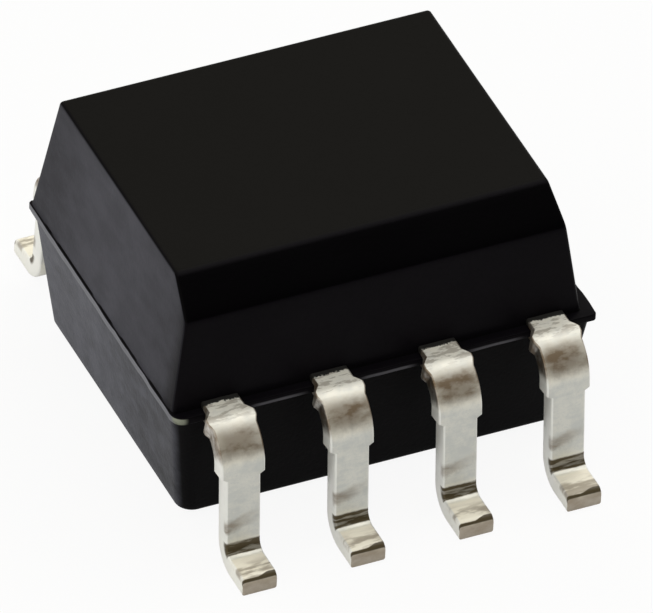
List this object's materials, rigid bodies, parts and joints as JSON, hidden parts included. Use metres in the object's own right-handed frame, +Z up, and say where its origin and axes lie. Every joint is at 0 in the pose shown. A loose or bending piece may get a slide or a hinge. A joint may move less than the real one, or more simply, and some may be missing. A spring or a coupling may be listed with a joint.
{
  "type": "eight-lead small-outline optocoupler",
  "caption": "Small black surface-mount chip package: a tall drafted epoxy moulding with gull-wing leads along both long sides, and light-coupled chips sealed inside.",
  "frame": {"origin": "on the board surface, under the middle of the part", "axes": "+X along the rows of leads, from lead 1 to lead 4; +Y across the rows, away from leads 1 to 4 and the chamfer; +Z up from the board"},
  "size_m": [0.005, 0.0062, 0.0032],
  "materials": {
    "moulding": "fine matt from a spark-eroded mould",
    "tinned_lead": "matt tin over copper alloy, scuffed by forming",
    "emitter_chip": "sawn edges, polished face",
    "detector_chip": "sawn edges, polished face",
    "adhesive": "silver-filled",
    "gold_wire": "drawn",
    "silicone": "clear"
  },
  "bodies": {
    "root": {"body": "moulding", "lead_1": "tinned_lead", "lead_2": "tinned_lead", "lead_3": "tinned_lead", "lead_4": "tinned_lead", "lead_5": "tinned_lead", "lead_6": "tinned_lead", "lead_7": "tinned_lead", "lead_8": "tinned_lead", "emitter_die_a": "emitter_chip", "detector_die_a": "detector_chip", "emitter_die_b": "emitter_chip", "detector_die_b": "detector_chip", "emitter_attach_a": "adhesive", "detector_attach_a": "adhesive", "emitter_attach_b": "adhesive", "detector_attach_b": "adhesive", "emitter_wire_a": "gold_wire", "detector_wire_a": "gold_wire", "emitter_wire_b": "gold_wire", "detector_wire_b": "gold_wire", "gel_a": "silicone", "gel_b": "silicone"}
  },
  "joints": []
}
